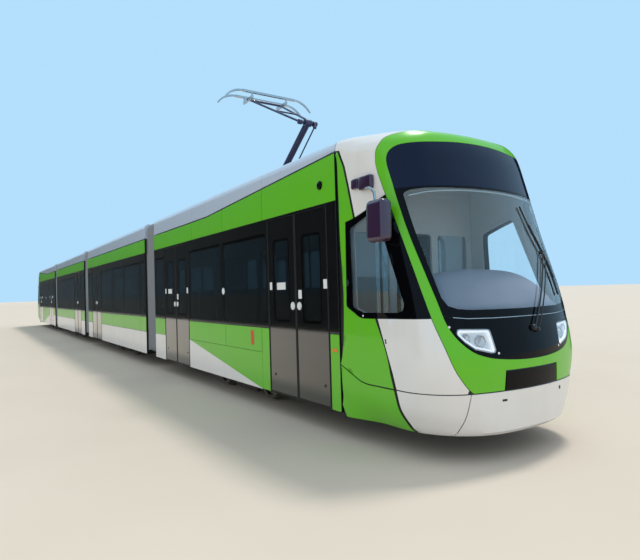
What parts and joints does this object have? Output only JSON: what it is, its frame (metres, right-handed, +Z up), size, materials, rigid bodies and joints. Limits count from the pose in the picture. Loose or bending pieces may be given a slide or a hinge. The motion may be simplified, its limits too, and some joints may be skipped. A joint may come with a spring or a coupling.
{
  "type": "articulated low-floor tram",
  "caption": "Four-section articulated tram with two cabs, pleated gangways, turning bogies, wheelsets and a raised single-arm pantograph.",
  "frame": {"origin": "floor level under the middle of the tram, at the tips of the wheel flanges, on the middle articulation's axis", "axes": "+X along the tram towards the cab that carries the pantograph car's nose, +Y to its left, +Z up"},
  "size_m": [36.332, 2.77, 5.5357],
  "materials": {
    "body_paint": "gloss paint, green and white",
    "roof_paint": "gloss white paint",
    "roof_unit_grey": "satin grey",
    "tinted_glass": "tinted",
    "door_black": "gloss black",
    "interior_plastic": "moulded",
    "gloss_black": "gloss",
    "lamp_lens": "clear",
    "mirror_housing": "gloss",
    "wiper_black": "satin black",
    "bogie_steel": "dusty dark grey",
    "wheel_steel": "worn running surface",
    "bellows_fabric": "coated fabric",
    "pantograph_steel": "dark blue-black paint"
  },
  "bodies": {
    "car_a": {"car_a_shell": "body_paint", "car_a_roof_fairings": "roof_paint", "car_a_roof_units": "roof_unit_grey", "car_a_glazing": "tinted_glass", "car_a_doors": "door_black", "car_a_interior": "interior_plastic", "car_a_cab_shell": "body_paint", "car_a_cab_skirt": "body_paint", "car_a_cab_glass": "tinted_glass", "car_a_lamp_panel": "gloss_black", "car_a_headlamps": "lamp_lens", "car_a_cab_interior": "interior_plastic", "car_a_mirrors": "mirror_housing", "car_a_wiper": "wiper_black", "bellows_ab": "bellows_fabric", "pantograph_base": "pantograph_steel"},
    "bogie_a": {"car_a_bogie_frame": "bogie_steel"},
    "front_wheelset_a": {"car_a_front_wheelset": "wheel_steel"},
    "rear_wheelset_a": {"car_a_rear_wheelset": "wheel_steel"},
    "car_b": {"car_b_shell": "body_paint", "car_b_roof_fairings": "roof_paint", "car_b_roof_units": "roof_unit_grey", "car_b_glazing": "tinted_glass", "car_b_doors": "door_black", "car_b_interior": "interior_plastic"},
    "bogie_b": {"car_b_bogie_frame": "bogie_steel"},
    "front_wheelset_b": {"car_b_front_wheelset": "wheel_steel"},
    "rear_wheelset_b": {"car_b_rear_wheelset": "wheel_steel"},
    "car_c": {"car_c_shell": "body_paint", "car_c_roof_fairings": "roof_paint", "car_c_roof_units": "roof_unit_grey", "car_c_glazing": "tinted_glass", "car_c_doors": "door_black", "car_c_interior": "interior_plastic", "bellows_bc": "bellows_fabric"},
    "bogie_c": {"car_c_bogie_frame": "bogie_steel"},
    "front_wheelset_c": {"car_c_front_wheelset": "wheel_steel"},
    "rear_wheelset_c": {"car_c_rear_wheelset": "wheel_steel"},
    "car_d": {"car_d_shell": "body_paint", "car_d_roof_fairings": "roof_paint", "car_d_roof_units": "roof_unit_grey", "car_d_glazing": "tinted_glass", "car_d_doors": "door_black", "car_d_interior": "interior_plastic", "car_d_cab_shell": "body_paint", "car_d_cab_skirt": "body_paint", "car_d_cab_glass": "tinted_glass", "car_d_lamp_panel": "gloss_black", "car_d_headlamps": "lamp_lens", "car_d_cab_interior": "interior_plastic", "car_d_mirrors": "mirror_housing", "car_d_wiper": "wiper_black", "bellows_cd": "bellows_fabric"},
    "bogie_d": {"car_d_bogie_frame": "bogie_steel"},
    "front_wheelset_d": {"car_d_front_wheelset": "wheel_steel"},
    "rear_wheelset_d": {"car_d_rear_wheelset": "wheel_steel"},
    "pantograph_lower_arm": {"pantograph_lower_arm": "pantograph_steel"},
    "pantograph_link": {"pantograph_link": "pantograph_steel"},
    "pantograph_upper_arm": {"pantograph_upper_arm": "pantograph_steel"},
    "pantograph_head": {"pantograph_head": "pantograph_steel"}
  },
  "joints": [
    {"name": "articulation_ab", "type": "hinge", "parent": "car_b", "child": "car_a", "pos_m": [8.54, 0, 0.35], "axis": [0, 0, 1], "range_deg": [-28, 28], "deforming": ["bellows_ab"]},
    {"name": "articulation_bc", "type": "hinge", "parent": "car_b", "child": "car_c", "pos_m": [0, 0, 0.35], "axis": [0, 0, -1], "range_deg": [-28, 28], "deforming": ["bellows_bc"]},
    {"name": "articulation_cd", "type": "hinge", "parent": "car_c", "child": "car_d", "pos_m": [-8.54, 0, 0.35], "axis": [0, 0, -1], "range_deg": [-28, 28], "deforming": ["bellows_cd"]},
    {"name": "bogie_yaw_a", "type": "hinge", "parent": "car_a", "child": "bogie_a", "pos_m": [12.95, 0, 0.47], "axis": [0, 0, 1], "range_deg": [-8, 8]},
    {"name": "bogie_yaw_b", "type": "hinge", "parent": "car_b", "child": "bogie_b", "pos_m": [4.35, 0, 0.47], "axis": [0, 0, 1], "range_deg": [-8, 8]},
    {"name": "bogie_yaw_c", "type": "hinge", "parent": "car_c", "child": "bogie_c", "pos_m": [-4.35, 0, 0.47], "axis": [0, 0, 1], "range_deg": [-8, 8]},
    {"name": "bogie_yaw_d", "type": "hinge", "parent": "car_d", "child": "bogie_d", "pos_m": [-12.95, 0, 0.47], "axis": [0, 0, 1], "range_deg": [-8, 8]},
    {"name": "front_wheels_a", "type": "hinge", "parent": "bogie_a", "child": "front_wheelset_a", "pos_m": [13.85, 0, 0.326], "axis": [0, 1, 0], "continuous": true},
    {"name": "rear_wheels_a", "type": "hinge", "parent": "bogie_a", "child": "rear_wheelset_a", "pos_m": [12.05, 0, 0.326], "axis": [0, 1, 0], "continuous": true},
    {"name": "front_wheels_b", "type": "hinge", "parent": "bogie_b", "child": "front_wheelset_b", "pos_m": [5.25, 0, 0.326], "axis": [0, 1, 0], "continuous": true},
    {"name": "rear_wheels_b", "type": "hinge", "parent": "bogie_b", "child": "rear_wheelset_b", "pos_m": [3.45, 0, 0.326], "axis": [0, 1, 0], "continuous": true},
    {"name": "front_wheels_c", "type": "hinge", "parent": "bogie_c", "child": "front_wheelset_c", "pos_m": [-5.25, 0, 0.326], "axis": [0, 1, 0], "continuous": true},
    {"name": "rear_wheels_c", "type": "hinge", "parent": "bogie_c", "child": "rear_wheelset_c", "pos_m": [-3.45, 0, 0.326], "axis": [0, 1, 0], "continuous": true},
    {"name": "front_wheels_d", "type": "hinge", "parent": "bogie_d", "child": "front_wheelset_d", "pos_m": [-13.85, 0, 0.326], "axis": [0, 1, 0], "continuous": true},
    {"name": "rear_wheels_d", "type": "hinge", "parent": "bogie_d", "child": "rear_wheelset_d", "pos_m": [-12.05, 0, 0.326], "axis": [0, 1, 0], "continuous": true},
    {"name": "pantograph_raise", "type": "hinge", "parent": "car_a", "child": "pantograph_lower_arm", "pos_m": [12.24, 0, 3.346], "axis": [0, -1, 0], "range_deg": [-31.4, 8.6]},
    {"name": "pantograph_knee", "type": "hinge", "parent": "pantograph_lower_arm", "child": "pantograph_upper_arm", "pos_m": [13.94959, 0, 4.60642], "axis": [0, -1, 0], "range_deg": [-16, 58]},
    {"name": "pantograph_head_level", "type": "hinge", "parent": "pantograph_upper_arm", "child": "pantograph_head", "pos_m": [12.44945, 0, 5.42093], "axis": [0, -1, 0], "range_deg": [-26.6, 7.4]},
    {"name": "pantograph_link", "type": "hinge", "parent": "car_a", "child": "pantograph_link", "pos_m": [12.43, 0, 3.239], "axis": [0, -1, 0], "range_deg": [-32.1, 8.8]}
  ],
  "couplings": [
    {"joint": "pantograph_link", "follows": "pantograph_raise", "ratio": 1.022},
    {"joint": "pantograph_knee", "follows": "pantograph_raise", "ratio": -1.845},
    {"joint": "pantograph_head_level", "follows": "pantograph_raise", "ratio": 0.845}
  ]
}
